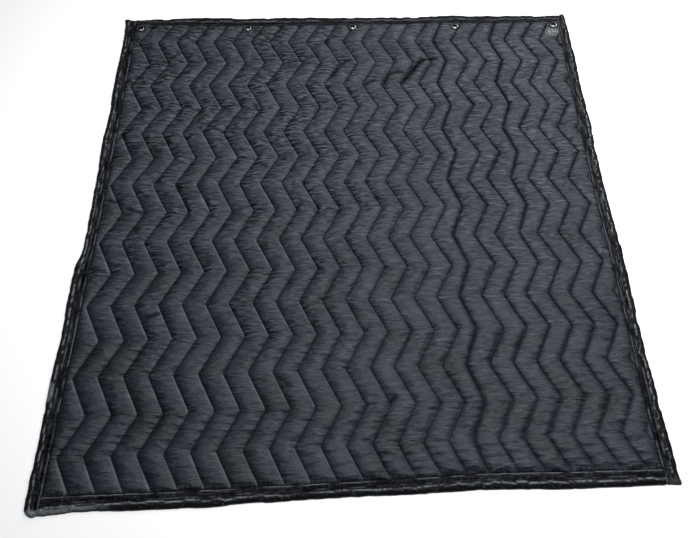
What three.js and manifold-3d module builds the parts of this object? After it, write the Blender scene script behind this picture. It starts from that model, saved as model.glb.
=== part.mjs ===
// A quilted sound dampening blanket, spread out face up.
// Millimetres, +Z up, +Y towards the edge with the grommets, +X to the right of it.
// The origin is the middle of the underside, on the surface that the blanket lies on.
import * as THREE from 'three';
import { mergeVertices } from 'three/addons/utils/BufferGeometryUtils.js';
import Module from 'manifold-3d';

const wasm = await Module();
wasm.setup();

// Quilting: every needle sews one zigzag line that runs the length of the blanket.
const needleGap = 73.8; // sideways from one zigzag line to the next
const legRun = 123; // lengthwise run of one straight leg of the zigzag
const swing = 59.7; // sideways reach of one leg
const firstTurnX = -846; // line 0 where it turns back at its left
const firstTurnY = 859; // the turn of row 0, the left turn nearest the grommets
const lastLine = 25; // lines -2 to 25 reach past both side edges
const lastTurn = 16; // turns -2 to 16 reach past both ends

// Where a needle drew the cloth aside, its line swings less: shifts of its left and right
// turns, down to the last turn named.
const strayLines = [
  { line: 16, leftShift: 1, rightShift: -14, untilTurn: 16 },
  { line: 19, leftShift: 11, rightShift: -8, untilTurn: 8 },
];

// Thickness. The channels between the lines are filled, the lines are sewn down, and the
// blanket's own weight keeps its underside flat.
const crownTop = 11.5; // top of a full channel
const seamTop = 5.2; // top of the cloth in a line of stitches
const rimTop = 7; // the filling is thin beside the binding
const rimFade = 34; // a channel fills out over this distance from the binding
const fadeStation = 935; // distance of the last full cross-section from the middle, at either end

// Profile of a channel, from one line to the next: share of the way across, and how full it is.
const channelProfile = [
  { across: 0, fill: 0 },
  { across: 0.22, fill: 0.8 },
  { across: 0.5, fill: 1 },
  { across: 0.78, fill: 0.8 },
];

// Long soft waves where the filling stands higher.
const waves = [
  { x: 352, fromY: -900, toY: 900, width: 30, lift: 3 },
  { x: 598, fromY: 180, toY: 900, width: 34, lift: 4.5 },
];

// Binding: a tape folded round the sewn-flat rim of the quilt.
const tape = 1.2;
const bindingHeight = 7;
const gap = 0.3; // between neighbouring pieces
const rimInset = 4.5; // the quilt's rim stops this far inside the fold
const rimLap = 2; // how far the rim runs into the filled channels
const foldReach = 4.2; // the round of the fold takes this much of the width

// The four edges: outer edge and inner edge of the binding at places along each side.
const leftEdge = [
  { at: -1025, outer: -898, inner: -866 },
  { at: -1012, outer: -904, inner: -866 },
  { at: -950, outer: -907, inner: -866 },
  { at: -850, outer: -903, inner: -865 },
  { at: -650, outer: -906, inner: -864 },
  { at: -450, outer: -903, inner: -862 },
  { at: -350, outer: -907, inner: -862 },
  { at: -250, outer: -910, inner: -862 },
  { at: -205, outer: -905, inner: -861 },
  { at: -160, outer: -894, inner: -860 },
  { at: -90, outer: -892, inner: -859 },
  { at: 100, outer: -897, inner: -860 },
  { at: 350, outer: -904, inner: -862 },
  { at: 490, outer: -900, inner: -863 },
  { at: 560, outer: -906, inner: -864 },
  { at: 750, outer: -907, inner: -867 },
  { at: 900, outer: -909, inner: -871 },
  { at: 975, outer: -914, inner: -872 },
  { at: 1003, outer: -920, inner: -873 },
];
const rightEdge = [
  { at: -1021, outer: 920, inner: 877 },
  { at: -900, outer: 914, inner: 872 },
  { at: -800, outer: 911, inner: 871 },
  { at: -600, outer: 908, inner: 870 },
  { at: -500, outer: 907, inner: 869 },
  { at: -200, outer: 912, inner: 868 },
  { at: -100, outer: 908, inner: 867 },
  { at: 100, outer: 903, inner: 865 },
  { at: 200, outer: 904, inner: 866 },
  { at: 400, outer: 911, inner: 868 },
  { at: 470, outer: 908, inner: 868 },
  { at: 560, outer: 907, inner: 869 },
  { at: 700, outer: 911, inner: 872 },
  { at: 900, outer: 911, inner: 878 },
  { at: 1010, outer: 911, inner: 880 },
  { at: 1025, outer: 907, inner: 880 },
];
const topEdge = [
  { at: -873, outer: 996, inner: 975 },
  { at: -834, outer: 997, inner: 974 },
  { at: -694, outer: 1005, inner: 970 },
  { at: -594, outer: 1009, inner: 963 },
  { at: -394, outer: 1005, inner: 962 },
  { at: -244, outer: 1006, inner: 962 },
  { at: -124, outer: 1012, inner: 966 },
  { at: -44, outer: 1006, inner: 967 },
  { at: 246, outer: 1007, inner: 969 },
  { at: 366, outer: 1011, inner: 974 },
  { at: 446, outer: 1017, inner: 974 },
  { at: 506, outer: 1010, inner: 971 },
  { at: 586, outer: 1014, inner: 971 },
  { at: 616, outer: 1007, inner: 972 },
  { at: 646, outer: 1014, inner: 973 },
  { at: 846, outer: 1012, inner: 978 },
  { at: 880, outer: 1018, inner: 980 },
];
const bottomEdge = [
  { at: -866, outer: -1019, inner: -972 },
  { at: -744, outer: -1014, inner: -972 },
  { at: -594, outer: -1016, inner: -973 },
  { at: -394, outer: -1019, inner: -973 },
  { at: -324, outer: -1013, inner: -972 },
  { at: -194, outer: -1011, inner: -971 },
  { at: 6, outer: -1008, inner: -969 },
  { at: 206, outer: -1009, inner: -967 },
  { at: 346, outer: -1007, inner: -963 },
  { at: 456, outer: -1010, inner: -965 },
  { at: 606, outer: -1016, inner: -970 },
  { at: 876, outer: -1019, inner: -975 },
];

// Grommets: nickel plated, five along the top edge, each set through the band above the cut.
const bandY = 905; // the band that holds the grommets is above this line
const grommetPlaces = [
  { x: -850, y: 942 },
  { x: -420, y: 941 },
  { x: 8, y: 945 },
  { x: 434, y: 945 },
  { x: 853, y: 951 },
];
const holeRadius = 8;
const barrelWall = 0.9;
const flangeRadius = 16;
const flangeTop = 7.6; // top of the rounded flange
const flangeUnder = 5.8; // where the flange presses on the cloth
const washerTop = 1.4; // where the washer under the blanket presses on the cloth
const seatRun = 13; // the cloth rises to its full height over this distance round the flange
const roundSteps = 20;

const cutMargin = 40; // a cutting tool reaches this far above and below the surface
const farY = 1200; // and this far along the blanket, past its ends

const clothFinish = { color: 0x43484f, roughness: 0.72, metalness: 0 };
const tapeFinish = { color: 0x24272b, roughness: 0.8, metalness: 0 };
const nickelFinish = { color: 0xd5d6d2, roughness: 0.25, metalness: 1 };

// A value between the rows of a table, in proportion.
function along(rows, column, at) {
  const next = rows.findIndex((row) => row.at > at);
  if (next < 0) return rows.at(-1)[column];
  if (next === 0) return rows[0][column];
  const before = rows[next - 1];
  const after = rows[next];
  const share = (at - before.at) / (after.at - before.at);
  return before[column] + share * (after[column] - before[column]);
}

const smooth = (value) => THREE.MathUtils.smoothstep(value, 0, 1);
const isOdd = (number) => Math.abs(number % 2) === 1;

// Sideways place of a zigzag line at one of its turns: even turns point left, odd ones right.
function turnX(line, turn) {
  const stray = strayLines.find((row) => row.line === line && turn <= row.untilTurn);
  const shift = stray ? (isOdd(turn) ? stray.rightShift : stray.leftShift) : 0;
  return firstTurnX + line * needleGap + (isOdd(turn) ? swing : 0) + shift;
}

// Sideways place of a zigzag line at any distance along the blanket.
function lineX(line, y) {
  const run = (firstTurnY - y) / legRun;
  const turn = Math.floor(run);
  return THREE.MathUtils.lerp(turnX(line, turn), turnX(line, turn + 1), run - turn);
}

// Distance from the nearest inner edge of the binding.
function rimDistance(x, y) {
  const side = Math.min(x - along(leftEdge, 'inner', y), along(rightEdge, 'inner', y) - x);
  const end = Math.min(along(topEdge, 'inner', x) - y, y - along(bottomEdge, 'inner', x));
  return Math.min(side, end);
}

// How much higher than elsewhere the cloth stands in a wave.
function liftAt(x, y) {
  const lifts = waves.map(({ x: middle, fromY, toY, width, lift }) => {
    const ends = smooth((y - fromY) / 200) * smooth((toY - y) / 200);
    return lift * ends * Math.exp(-(((x - middle) / width) ** 2));
  });
  return lifts.reduce((total, lift) => total + lift, 0);
}

function topAt(x, y, fill) {
  const full = smooth(rimDistance(x, y) / rimFade);
  const crown = THREE.MathUtils.lerp(rimTop, crownTop, full);
  return seamTop + (crown - seamTop) * fill + liftAt(x, y);
}

// Cross-sections along the length: one at every turn, and one where each end starts to thin out.
function stations() {
  const turns = [];
  for (let turn = -2; turn <= lastTurn; turn++) turns.push(firstTurnY - turn * legRun);
  return [...turns, fadeStation, -fadeStation].sort((a, b) => b - a);
}

// A closed block of quilting that reaches past all four edges and below the surface, to be
// trimmed. Its columns follow the zigzag lines, so every line of stitches is an edge of the mesh.
function quiltBlock() {
  const columns = [];
  for (let line = -2; line < lastLine; line++) {
    for (const { across, fill } of channelProfile) columns.push({ line, across, fill });
  }
  columns.push({ line: lastLine, across: 0, fill: 0 });
  const rows = stations();
  const wide = columns.length;
  const positions = [];
  for (const under of [false, true]) {
    for (const y of rows) {
      for (const { line, across, fill } of columns) {
        const x = THREE.MathUtils.lerp(lineX(line, y), lineX(line + 1, y), across);
        positions.push(x, y, under ? -cutMargin : topAt(x, y, fill));
      }
    }
  }
  const faces = [];
  const quad = (a, b, c, d) => faces.push(a, b, c, a, c, d);
  const below = wide * rows.length;
  for (let row = 0; row + 1 < rows.length; row++) {
    for (let column = 0; column + 1 < wide; column++) {
      const a = row * wide + column;
      quad(a, a + wide, a + wide + 1, a + 1);
      quad(below + a, below + a + 1, below + a + wide + 1, below + a + wide);
    }
    const left = row * wide;
    const right = left + wide - 1;
    quad(left, below + left, below + left + wide, left + wide);
    quad(right, right + wide, below + right + wide, below + right);
  }
  for (let column = 0; column + 1 < wide; column++) {
    const end = below - wide + column;
    quad(column, column + 1, below + column + 1, below + column);
    quad(end, below + end, below + end + 1, end + 1);
  }
  const geometry = new THREE.BufferGeometry();
  geometry.setAttribute('position', new THREE.Float32BufferAttribute(positions, 3));
  geometry.setIndex(faces);
  return geometry;
}

// The outline that runs inset millimetres inside the outer or the inner edge of the binding.
function outline(column, inset) {
  const left = (y) => along(leftEdge, column, y) + inset;
  const right = (y) => along(rightEdge, column, y) - inset;
  const top = (x) => along(topEdge, column, x) - inset;
  const bottom = (x) => along(bottomEdge, column, x) + inset;
  const corner = (side, end) => {
    let y = end(0);
    for (let pass = 0; pass < 4; pass++) y = end(side(y)); // closes in on where the two edges meet
    return [side(y), y];
  };
  const [lowLeft, lowRight] = [corner(left, bottom), corner(right, bottom)];
  const [highRight, highLeft] = [corner(right, top), corner(left, top)];
  const between = (rows, low, high) => rows.map((row) => row.at).filter((at) => at > low && at < high);
  const points = [
    lowLeft,
    ...between(bottomEdge, lowLeft[0] + 1, lowRight[0] - 1).map((x) => [x, bottom(x)]),
    lowRight,
    ...between(rightEdge, lowRight[1] + 1, highRight[1] - 1).map((y) => [right(y), y]),
    highRight,
    ...between(topEdge, highLeft[0] + 1, highRight[0] - 1).reverse().map((x) => [x, top(x)]),
    highLeft,
    ...between(leftEdge, lowLeft[1] + 1, highLeft[1] - 1).reverse().map((y) => [left(y), y]),
  ];
  return new THREE.Shape(points.map(([x, y]) => new THREE.Vector2(x, y)));
}

function slab(shape, lowZ, highZ) {
  const geometry = new THREE.ExtrudeGeometry(shape, { depth: highZ - lowZ, bevelEnabled: false });
  return geometry.translate(0, 0, lowZ);
}

// A solid of revolution about +Z from points of radius and height.
function turned(profile) {
  const points = profile.map(([radius, z]) => new THREE.Vector2(radius, z));
  return new THREE.LatheGeometry(points, roundSteps).rotateX(Math.PI / 2);
}

function solidOf(geometry) {
  geometry.deleteAttribute('normal');
  geometry.deleteAttribute('uv');
  const merged = mergeVertices(geometry, 1e-4);
  return new wasm.Manifold(new wasm.Mesh({
    numProp: 3,
    vertProperties: Float32Array.from(merged.attributes.position.array),
    triVerts: Uint32Array.from(merged.index.array),
  }));
}

function geometryOf(solid) {
  const mesh = solid.getMesh();
  const geometry = new THREE.BufferGeometry();
  geometry.setAttribute('position', new THREE.BufferAttribute(mesh.vertProperties, 3));
  geometry.setIndex(new THREE.BufferAttribute(mesh.triVerts, 1));
  return geometry;
}

// The whole quilt: the filled channels inside the binding, and the flat rim that the tape holds.
function makeQuilt() {
  const channels = solidOf(quiltBlock())
    .intersect(solidOf(slab(outline('inner', gap), 0, cutMargin)));
  const rim = solidOf(slab(outline('outer', rimInset), tape + gap, bindingHeight - tape - gap))
    .subtract(solidOf(slab(outline('inner', gap + rimLap), -cutMargin, cutMargin)));
  return channels.add(rim);
}

// Everything on one side of the cut between the panel and the grommet band.
function halfSpace(lowY, highY) {
  const box = new THREE.BoxGeometry(2 * farY, highY - lowY, 2 * cutMargin);
  return solidOf(box.translate(0, (lowY + highY) / 2, 0));
}

// What a set grommet takes from the cloth: the hole for its barrel, a seat for its flange
// with the dip round it, and a seat for its washer.
function grommetRoom(place) {
  const above = flangeUnder - gap;
  const below = washerTop + gap;
  const seat = flangeRadius + gap;
  const profile = [
    [0, -cutMargin],
    [seat, -cutMargin],
    [seat, below],
    [holeRadius + barrelWall + gap, below],
    [holeRadius + barrelWall + gap, above],
    [seat + 1, above],
    [seat + seatRun, crownTop + 2],
    [seat + seatRun, cutMargin],
    [0, cutMargin],
  ];
  return solidOf(turned(profile).translate(place.x, place.y, 0));
}

// A grommet closed on its washer: rounded flange above, barrel, flat washer below.
function grommetGeometry(place) {
  const flatRing = holeRadius + 4.6;
  const profile = [
    [holeRadius, 0.8],
    [holeRadius + 0.8, 0],
    [flangeRadius - 0.6, 0],
    [flangeRadius, 0.6],
    [flangeRadius, washerTop],
    [holeRadius + barrelWall, washerTop],
    [holeRadius + barrelWall, flangeUnder],
    [flangeRadius - 0.2, flangeUnder],
    [flangeRadius, flangeUnder + 0.5],
    [flangeRadius - 1.2, flangeTop - 0.5],
    [flatRing, flangeTop],
    [holeRadius + 1.8, flangeTop],
    [holeRadius, flangeTop - 1.4],
    [holeRadius, 0.8],
  ];
  return turned(profile).translate(place.x, place.y, 0);
}

// Section of the folded tape: distance in from the outer edge, and height.
function tapeSection(width) {
  const middle = bindingHeight / 2;
  const high = bindingHeight;
  return [
    [width, 0], [foldReach, 0], [1.1, 1.1], [0, middle], [1.1, high - 1.1], [foldReach, high], [width, high],
    [width, high - tape], [foldReach, high - tape], [2.1, high - 2], [tape, middle], [2.1, 2],
    [foldReach, tape], [width, tape],
  ];
}

// A strip of folded tape along one edge. place turns a point along the edge, a distance
// across it and a height into x, y, z; flip puts the faces outwards on mirrored edges.
function strip(rows, place, flip) {
  const inwards = Math.sign(rows[0].inner - rows[0].outer);
  const sections = rows.map(({ at, outer, inner }) => (
    tapeSection(Math.abs(inner - outer)).map(([inset, z]) => place(at, outer + inwards * inset, z))
  ));
  const count = sections[0].length;
  const faces = [];
  const face = (a, b, c) => faces.push(...(flip ? [a, c, b] : [a, b, c]));
  for (let row = 0; row + 1 < rows.length; row++) {
    for (let point = 0; point < count; point++) {
      const a = row * count + point;
      const b = row * count + ((point + 1) % count);
      face(a, b, b + count);
      face(a, b + count, a + count);
    }
  }
  const section = tapeSection(30).map(([x, y]) => new THREE.Vector2(x, y));
  const last = (rows.length - 1) * count;
  for (const [a, b, c] of THREE.ShapeUtils.triangulateShape(section, [])) {
    face(a, b, c);
    face(last + a, last + c, last + b);
  }
  const geometry = new THREE.BufferGeometry();
  geometry.setAttribute('position', new THREE.Float32BufferAttribute(sections.flat(2), 3));
  geometry.setIndex(faces);
  return geometry;
}

// Side strips run the full length; the end strips fit between them.
function endStripRows(rows) {
  const sideAt = (side, { outer, inner }) => [outer, inner].map((y) => along(side, 'inner', y));
  const low = Math.max(...sideAt(leftEdge, rows[0])) + gap;
  const high = Math.min(...sideAt(rightEdge, rows.at(-1))) - gap;
  const row = (at) => ({ at, outer: along(rows, 'outer', at), inner: along(rows, 'inner', at) });
  return [row(low), ...rows.filter(({ at }) => at > low + 1 && at < high - 1), row(high)];
}

const blanket = new THREE.Group();

const alongX = (at, across, z) => [at, across, z];
const alongY = (at, across, z) => [across, at, z];

function addPiece(name, geometry, finish) {
  geometry.computeVertexNormals();
  const mesh = new THREE.Mesh(geometry, new THREE.MeshStandardMaterial(finish));
  mesh.name = name;
  blanket.add(mesh);
}

const quilt = makeQuilt();
const panel = quilt.intersect(halfSpace(-farY, bandY - gap / 2));
const band = grommetPlaces.reduce(
  (cloth, place) => cloth.subtract(grommetRoom(place)),
  quilt.intersect(halfSpace(bandY + gap / 2, farY)),
);

addPiece('quilt_panel', geometryOf(panel), clothFinish);
addPiece('grommet_band', geometryOf(band), clothFinish);
addPiece('binding_left', strip(leftEdge, alongY, false), tapeFinish);
addPiece('binding_right', strip(rightEdge, alongY, true), tapeFinish);
addPiece('binding_top', strip(endStripRows(topEdge), alongX, false), tapeFinish);
addPiece('binding_bottom', strip(endStripRows(bottomEdge), alongX, true), tapeFinish);
grommetPlaces.forEach((place, index) => {
  addPiece(`grommet_${index + 1}`, grommetGeometry(place), nickelFinish);
});

export default blanket;
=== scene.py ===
import math
from types import SimpleNamespace

import bpy
import numpy as np
from mathutils import Matrix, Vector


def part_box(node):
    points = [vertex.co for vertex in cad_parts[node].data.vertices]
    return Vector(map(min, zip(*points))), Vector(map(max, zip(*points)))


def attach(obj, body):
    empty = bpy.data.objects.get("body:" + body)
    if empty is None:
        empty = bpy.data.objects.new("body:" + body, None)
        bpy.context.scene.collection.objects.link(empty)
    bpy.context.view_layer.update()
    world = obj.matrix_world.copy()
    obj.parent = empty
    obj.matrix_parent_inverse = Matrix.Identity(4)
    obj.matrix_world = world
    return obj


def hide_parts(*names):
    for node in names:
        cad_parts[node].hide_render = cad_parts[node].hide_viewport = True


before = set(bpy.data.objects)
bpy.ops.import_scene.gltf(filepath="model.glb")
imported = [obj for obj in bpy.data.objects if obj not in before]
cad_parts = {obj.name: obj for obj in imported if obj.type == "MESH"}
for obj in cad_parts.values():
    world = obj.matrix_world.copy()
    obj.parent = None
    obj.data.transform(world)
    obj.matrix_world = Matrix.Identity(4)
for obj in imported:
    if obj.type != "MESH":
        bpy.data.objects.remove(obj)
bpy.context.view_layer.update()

# Metres throughout. The blanket lies face up on z = 0, its grommets towards +Y.


def smooth(v):
    # 3v^2 - 2v^3 between 0 and 1, flat outside
    v = np.clip(v, 0, 1)
    return v * v * (3 - 2 * v)


def step(v, start, reach):
    # from 0 at start to 1 a reach further on, smoothly
    return smooth((v - start) / reach)


def bell(v, width):
    # e ^ -(v / width)^2
    return np.exp(-(v / width) ** 2)


# large primes that spread whole numbers over 32 bits
primes = (374761393, 668265263, 974634777, 1274126177)


def lattice(i, j, seed):
    # a fixed number from -1 to 1 for each pair of whole numbers, by mixing their bits
    mixed = (i.astype(np.int64) * primes[0] + j.astype(np.int64) * primes[1] + seed * primes[2]) & 0xFFFFFFFF
    mixed = ((mixed ^ (mixed >> 13)) * primes[3]) & 0xFFFFFFFF
    return ((mixed ^ (mixed >> 16)) & 0xFFFFFF) / 8388607.5 - 1


def waver(u, v, seed):
    # smooth noise from -1 to 1: the lattice numbers at the corners of the unit cell round (u, v), blended.
    # u and v are mostly a place over the length of a wave.
    u, v = np.broadcast_arrays(np.asarray(u, float), np.asarray(v, float))
    i, j = np.floor(u), np.floor(v)
    a, b = smooth(u - i), smooth(v - j)
    low = lattice(i, j, seed) * (1 - a) + lattice(i + 1, j, seed) * a
    high = lattice(i, j + 1, seed) * (1 - a) + lattice(i + 1, j + 1, seed) * a
    return low * (1 - b) + high * b


def newObject(name, points, faces, finish, replaced=()):
    mesh = bpy.data.meshes.new(name)
    mesh.from_pydata(points.tolist(), [], faces)
    mesh.shade_smooth()
    mesh.materials.append(finish)
    piece = bpy.data.objects.new(name, mesh)
    bpy.context.scene.collection.objects.link(piece)
    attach(piece, "root")
    if replaced:
        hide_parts(*replaced)
    return piece


def paint(piece, name, values):
    # one number for each vertex, which the finish reads by name
    layer = piece.data.attributes.new(name, "FLOAT", "POINT")
    layer.data.foreach_set("value", np.asarray(values, np.float32))


def vertexPlaces(piece):
    co = np.zeros(len(piece.data.vertices) * 3, np.float32)
    piece.data.vertices.foreach_get("co", co)
    return co.reshape(-1, 3).astype(float)


class Wire:
    # a socket that can be used in sums; every sum adds its Math node
    def __init__(self, finish, socket):
        self.finish, self.socket = finish, socket

    def sum(self, operation, *terms, **settings):
        settings["operation"] = operation
        return self.finish.node("ShaderNodeMath", settings, dict(enumerate(terms)))

    def __add__(self, other):
        return self.sum("ADD", self, other)

    def __sub__(self, other):
        return self.sum("SUBTRACT", self, other)

    def __rsub__(self, other):
        return self.sum("SUBTRACT", other, self)

    def __mul__(self, other):
        return self.sum("MULTIPLY", self, other)

    __radd__, __rmul__ = __add__, __mul__

    def clamped(self):
        return self.sum("ADD", self, 0.0, use_clamp=True)

    def between(self, low, high):
        # 0 below low, 1 above high, smooth between
        return self.finish.node(
            "ShaderNodeMapRange", {"interpolation_type": "SMOOTHSTEP"},
            {0: self, 1: low, 2: high, 3: 0.0, 4: 1.0},
        )


class Finish:
    # one material and the nodes in it
    def __init__(self, name, **constants):
        self.material = bpy.data.materials.new(name)
        self.material.use_nodes = True
        self.tree = self.material.node_tree
        self.shader = self.tree.nodes["Principled BSDF"]
        for socket, value in constants.items():
            self.shader.inputs[socket.replace("_", " ")].default_value = value
        self.place = self.node("ShaderNodeTexCoord", output="Object")

    def node(self, kind, settings=None, inputs=None, output=0):
        made = self.tree.nodes.new(kind)
        for name, value in (settings or {}).items():
            setattr(made, name, value)
        for key, value in (inputs or {}).items():
            if isinstance(value, Wire):
                self.tree.links.new(value.socket, made.inputs[key])
            else:
                made.inputs[key].default_value = value
        return Wire(self, made.outputs[output])

    def axis(self, name):
        return self.node("ShaderNodeSeparateXYZ", None, {0: self.place}, output=name)

    def stretched(self, scale, shift=(0, 0, 0), turn=0):
        # the place on the piece, in steps of 1 / scale metres
        rotation = (0, 0, math.radians(turn))
        return self.node(
            "ShaderNodeMapping", None,
            {"Vector": self.place, "Scale": scale, "Location": shift, "Rotation": rotation},
        )

    def noise(self, scale, detail=2.0, roughness=0.5, shift=(0, 0, 0), turn=0):
        vector = self.stretched(scale, shift, turn)
        return self.node(
            "ShaderNodeTexNoise", None,
            {"Vector": vector, "Scale": 1.0, "Detail": detail, "Roughness": roughness},
        )

    def threads(self, direction, scale, distortion, detail=2.0):
        return self.node(
            "ShaderNodeTexWave", {"bands_direction": direction, "wave_profile": "SIN"},
            {"Vector": self.place, "Scale": scale, "Distortion": distortion, "Detail": detail},
        )

    def mix(self, share, first, second):
        # colours only, so the colour sockets of the Mix node
        first, second = [(*c, 1) if isinstance(c, tuple) else c for c in (first, second)]
        return self.node("ShaderNodeMix", {"data_type": "RGBA"}, {0: share, 6: first, 7: second}, output=2)

    def painted(self, name):
        return self.node("ShaderNodeAttribute", {"attribute_name": name}, output="Fac")

    def bump(self, height, distance, strength=1.0, under=None):
        inputs = {"Height": height, "Distance": distance, "Strength": strength}
        if under:
            inputs["Normal"] = under
        return self.node("ShaderNodeBump", None, inputs)

    def feed(self, **links):
        for socket, wire in links.items():
            self.tree.links.new(wire.socket, self.shader.inputs[socket.replace("_", " ")])
        return self.material


def shade(*screen):
    # screen colour 0-255 to linear
    return tuple(round(((c / 255 + 0.055) / 1.055) ** 2.4 if c > 10 else c / 255 / 12.92, 5) for c in screen)


print("helpers ready")

clothLook = {
    "deep": shade(19, 23, 31), "open": shade(39, 44, 53),
    # the pale of the thicker weft threads, also the colour of the painted highlights on ridges and stretched
    # edges
    "streakAndHighlight": shade(98, 102, 111),
    "moss": shade(29, 44, 46), "plum": shade(36, 39, 55),     # faint blotches where the dye took differently
    # the near-black of the painted shade in seams, folds, gathers and wrinkle valleys
    "painted_shade": shade(4, 4, 6),
    "worn": shade(160, 162, 158),
    "roughness": 0.42, "specular": 0.19,
    # patterns: steps in a metre across, along and up
    "cloud": (5, 6, 5),
    "mossScale": (9, 14, 9), "plumScale": (7, 11, 7), "blotches": 0.5,
    "slubs": (17, 150, 1), "fine": (34, 330, 1), "patches": (6, 8, 1),
    "speckle": (150, 140, 1),
    "dashes": (27, 120, 1), "gathers": (135, 8, 1),
    "ripple": (17, 66, 1), "facets": (16, 46, 1), "crumple": (60, 90, 1),
    "threads": 520.0, "threadHeight": 0.00012,
    "wrinkleHeight": 0.0062,
}


def clothFinish():
    look = clothLook
    cloth = Finish("quilt_cloth", Specular_IOR_Level=look["specular"])
    cloud = cloth.noise(look["cloud"], 4, 0.6)
    colour = cloth.mix(cloud.between(0.25, 0.8), look["deep"], look["open"])
    moss = cloth.noise(look["mossScale"], 3, 0.6, (3.1, 0, 0)).between(0.56, 0.76)
    colour = cloth.mix(moss * look["blotches"], colour, look["moss"])
    plum = cloth.noise(look["plumScale"], 3, 0.6, (0, 7.7, 0)).between(0.57, 0.78)
    colour = cloth.mix(plum * look["blotches"], colour, look["plum"])
    # thicker weft threads: light streaks that run across the width, more of them towards the grommets
    upwards, rightwards = cloth.axis("Y").between(-0.9, 0.8), cloth.axis("X").between(-0.2, 0.7)
    slubs = cloth.noise(look["slubs"], 2, 0.55)
    fine = cloth.noise(look["fine"], 1, 0.5, (1.3, 0.4, 0))
    patches = cloth.noise(look["patches"], 2, 0.5, (5, 5, 0)).between(0.3, 0.7)
    streaks = ((slubs + 0.07 * upwards).between(0.60, 0.69) * (0.3 + 0.7 * patches)).clamped()
    colour = cloth.mix(streaks * (0.15 + 0.18 * upwards + 0.18 * rightwards), colour, look["streakAndHighlight"])
    thin = (fine + 0.04 * upwards).between(0.54, 0.64)
    colour = cloth.mix(thin * (0.14 + 0.20 * upwards), colour, look["streakAndHighlight"])
    # darker low threads of the weave, in the same near-black as the painted shade
    sunk = (0.45 - slubs).between(0.0, 0.07)
    colour = cloth.mix(sunk * (0.12 + 0.30 * upwards), colour, look["painted_shade"])
    speckle = cloth.noise(look["speckle"], 2, 0.6).between(0.50, 0.60)
    rubbed = (cloth.painted("worn") * (0.1 + 0.9 * speckle)).clamped()
    colour = cloth.mix(rubbed * 0.85, colour, look["worn"])
    # short sharp wrinkles across the width, in groups where the piece is painted crumpled; their valleys get
    # painted shade and their ridges a painted highlight
    crumpled = cloth.painted("crumpled")
    field = cloth.noise(look["dashes"], 1.5, 0.5, (7, 3, 0), turn=-4)
    dash = field.between(0.50, 0.57) * crumpled
    ridge = (0.52 - field).between(0.0, 0.1) * crumpled
    colour = cloth.mix(dash * 0.66, colour, look["painted_shade"])
    colour = cloth.mix(ridge * 0.22, colour, look["streakAndHighlight"])
    # the stretched edge beside a seam gets a painted highlight; gathers stand square to the end bindings,
    # with painted shade in them
    colour = cloth.mix(cloth.painted("stretched") * 0.46, colour, look["streakAndHighlight"])
    gathers = cloth.noise(look["gathers"], 1, 0.5, (1, 4, 0)).between(0.52, 0.60) * cloth.painted("hemmed")
    colour = cloth.mix(gathers * 0.55, colour, look["painted_shade"])
    # painted shade along the seams, the hem, the tuck, the folds and the stray lines, and round the grommets
    painted_shade = cloth.painted("painted_shade")
    colour = cloth.mix(painted_shade * 0.95, colour, look["painted_shade"])
    # plain weave, threads over and under; on it wrinkles, and the flat facets between them
    weave = cloth.threads("X", look["threads"], 0.6, 1.0) + cloth.threads("Y", look["threads"], 0.6, 1.0)
    weave = cloth.bump(weave, look["threadHeight"], 0.5)
    ripple = cloth.noise(look["ripple"], 2, 0.5, (2, 9, 0), turn=6)
    facets = cloth.node(
        "ShaderNodeTexVoronoi", {"feature": "F1"},
        {"Vector": cloth.stretched(look["facets"], (3, 1, 0), 4), "Scale": 1.0, "Randomness": 1.0},
    )
    crumple = cloth.noise(look["crumple"], 3, 0.6, (0.5, 0.2, 0))
    lift = ripple * (0.3 + 0.5 * crumpled) + facets * 0.9 + crumple * 0.42 + slubs * 0.1
    wrinkles = cloth.bump(lift - dash * 0.7 - gathers * 0.5, look["wrinkleHeight"], 1.0, weave)
    rough = look["roughness"] - 0.06 + 0.12 * cloud + 0.5 * painted_shade + 0.2 * dash
    # painted shade: metallic and black together, so nothing shines where shade is painted
    unlit = (painted_shade + 0.4 * dash).clamped() * 0.85
    return cloth.feed(Base_Color=colour, Roughness=rough, Normal=wrinkles, Metallic=unlit)


tapeLook = {
    "deep": shade(3, 4, 6), "open": shade(14, 17, 21),
    # the pale of the painted highlights and of the specks, and the black of the painted shade
    "edge": shade(122, 126, 133), "painted_shade": shade(2, 2, 3),
    "roughness": 0.58, "specular": 0.09,
    # patterns: steps in a metre
    "cloud": (30, 30, 30), "broken": (90, 90, 90), "specks": (110, 110, 110), "crumple": (130, 130, 130),
    "twill": 420.0, "twillHeight": 0.00012,
    "crumpleHeight": 0.0042,
}


def tapeFinish():
    look = tapeLook
    tape = Finish("binding_tape", Specular_IOR_Level=look["specular"])
    cloud = tape.noise(look["cloud"], 4, 0.65)
    colour = tape.mix(cloud.between(0.3, 0.75), look["deep"], look["open"])
    broken = tape.noise(look["broken"], 3, 0.7, (4, 1, 0)).between(0.30, 0.48)
    specks = tape.noise(look["specks"], 4, 0.7, (2, 8, 0)).between(0.56, 0.68)
    # painted shade along the stitches and on the roll's outer side; metallic with its black colour, it does
    # not shine
    painted_shade = tape.painted("painted_shade")
    colour = tape.mix(specks * 0.22, colour, look["edge"])
    colour = tape.mix(painted_shade * 0.7, colour, look["painted_shade"])
    # painted highlights along the crest, the inner edge and the stitches, and the paler stretches
    colour = tape.mix((tape.painted("edge") * broken).clamped() * 0.95, colour, look["edge"])
    twill = tape.bump(tape.threads("DIAGONAL", look["twill"], 0.4), look["twillHeight"], 0.5)
    bumps = tape.bump(tape.noise(look["crumple"], 4, 0.65), look["crumpleHeight"], 0.9, twill)
    rough = look["roughness"] + 0.2 * cloud - 0.1
    return tape.feed(Base_Color=colour, Roughness=rough, Normal=bumps, Metallic=painted_shade * 0.85)


threadLook = {"dark": shade(8, 8, 10), "light": shade(24, 25, 28), "roughness": 0.55, "specular": 0.25}


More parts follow.
